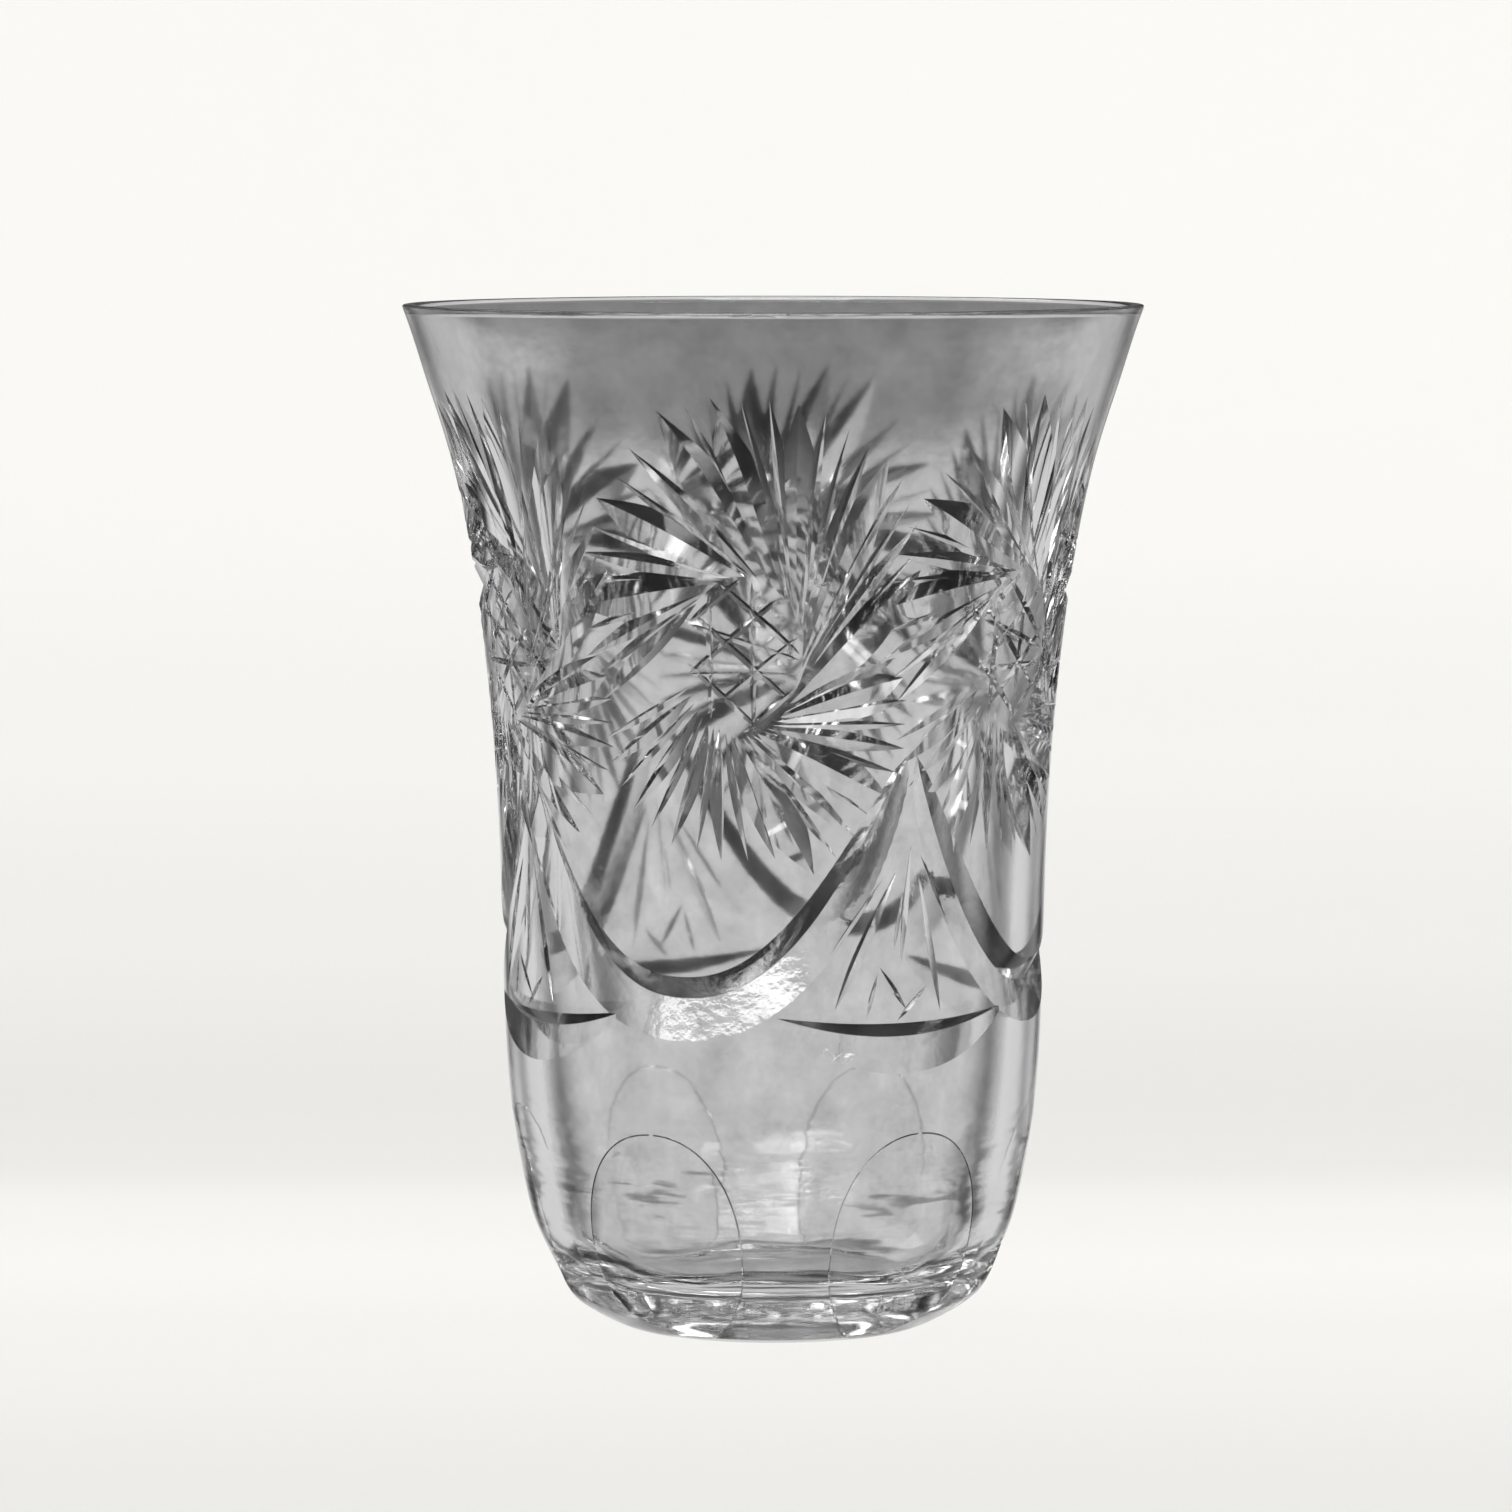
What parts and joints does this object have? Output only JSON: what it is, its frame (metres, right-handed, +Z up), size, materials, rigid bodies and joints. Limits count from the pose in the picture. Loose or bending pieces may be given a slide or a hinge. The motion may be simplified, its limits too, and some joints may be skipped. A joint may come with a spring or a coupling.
{
  "type": "cut crystal vase",
  "caption": "Colourless cut crystal vase with a flared plain rim, swirling pinwheel cuts, hanging swags and oval flutes round a thick solid base; holds water and flower stems.",
  "frame": {"origin": "centre of the flat foot, on the surface that the vase stands on", "axes": "+Z up along the axis of the vase; -Y through the swag whose pinwheel is the front of the pattern"},
  "size_m": [0.1086, 0.1086, 0.15],
  "materials": {
    "lead_crystal": "polished colourless lead crystal"
  },
  "bodies": {
    "root": {"vase_body": "lead_crystal"}
  },
  "joints": []
}
